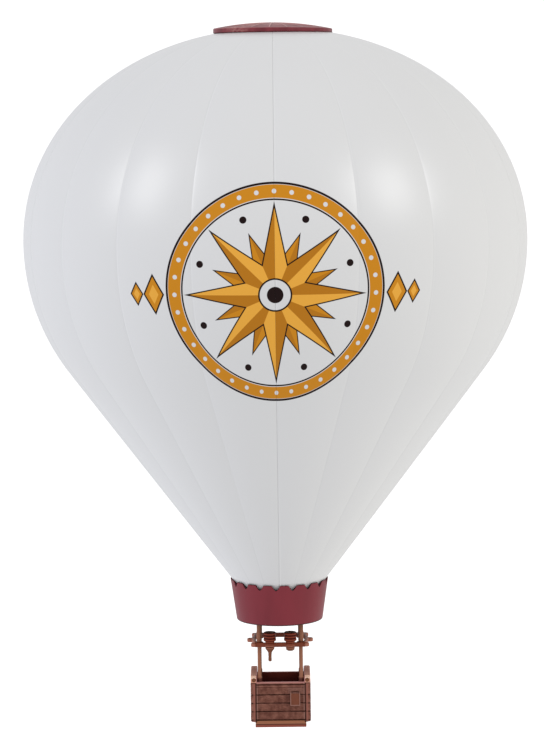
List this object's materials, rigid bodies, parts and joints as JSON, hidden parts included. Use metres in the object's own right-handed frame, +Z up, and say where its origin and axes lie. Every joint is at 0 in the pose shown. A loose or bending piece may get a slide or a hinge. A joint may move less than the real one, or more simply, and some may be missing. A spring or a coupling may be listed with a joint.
{
  "type": "model hot air balloon",
  "caption": "Plastic scale model of a hot air balloon: gored envelope in half shells, crown cap, notched skirt, posts, burner frame with burners, and a woven basket.",
  "frame": {"origin": "centre of the crown cap's top, where the model is hung", "axes": "+Z up along the balloon's axis, -Y towards the front of the basket, +X to the right"},
  "size_m": [0.1458, 0.1458, 0.2062],
  "materials": {
    "envelope_white": "satin white moulded plastic with faint gore creases",
    "crown_burgundy": "satin burgundy moulded plastic",
    "skirt_burgundy": "satin burgundy moulded plastic",
    "post_brown": "satin red-brown moulded plastic",
    "burner_brown": "dark red-brown moulded plastic",
    "basket_brown": "red-brown moulded plastic with a fine wicker texture"
  },
  "bodies": {
    "root": {"crown_cap": "crown_burgundy", "envelope_left": "envelope_white", "envelope_right": "envelope_white", "skirt": "skirt_burgundy", "post_front_left": "post_brown", "post_front_right": "post_brown", "post_back_left": "post_brown", "post_back_right": "post_brown", "burner_frame": "post_brown", "burner_left": "burner_brown", "burner_right": "burner_brown", "burner_handle": "burner_brown", "burner_valve": "burner_brown", "basket_floor": "basket_brown", "basket_front": "basket_brown", "basket_back": "basket_brown", "basket_left": "basket_brown", "basket_right": "basket_brown", "rail_left": "post_brown", "rail_right": "post_brown", "pocket": "basket_brown"}
  },
  "joints": []
}
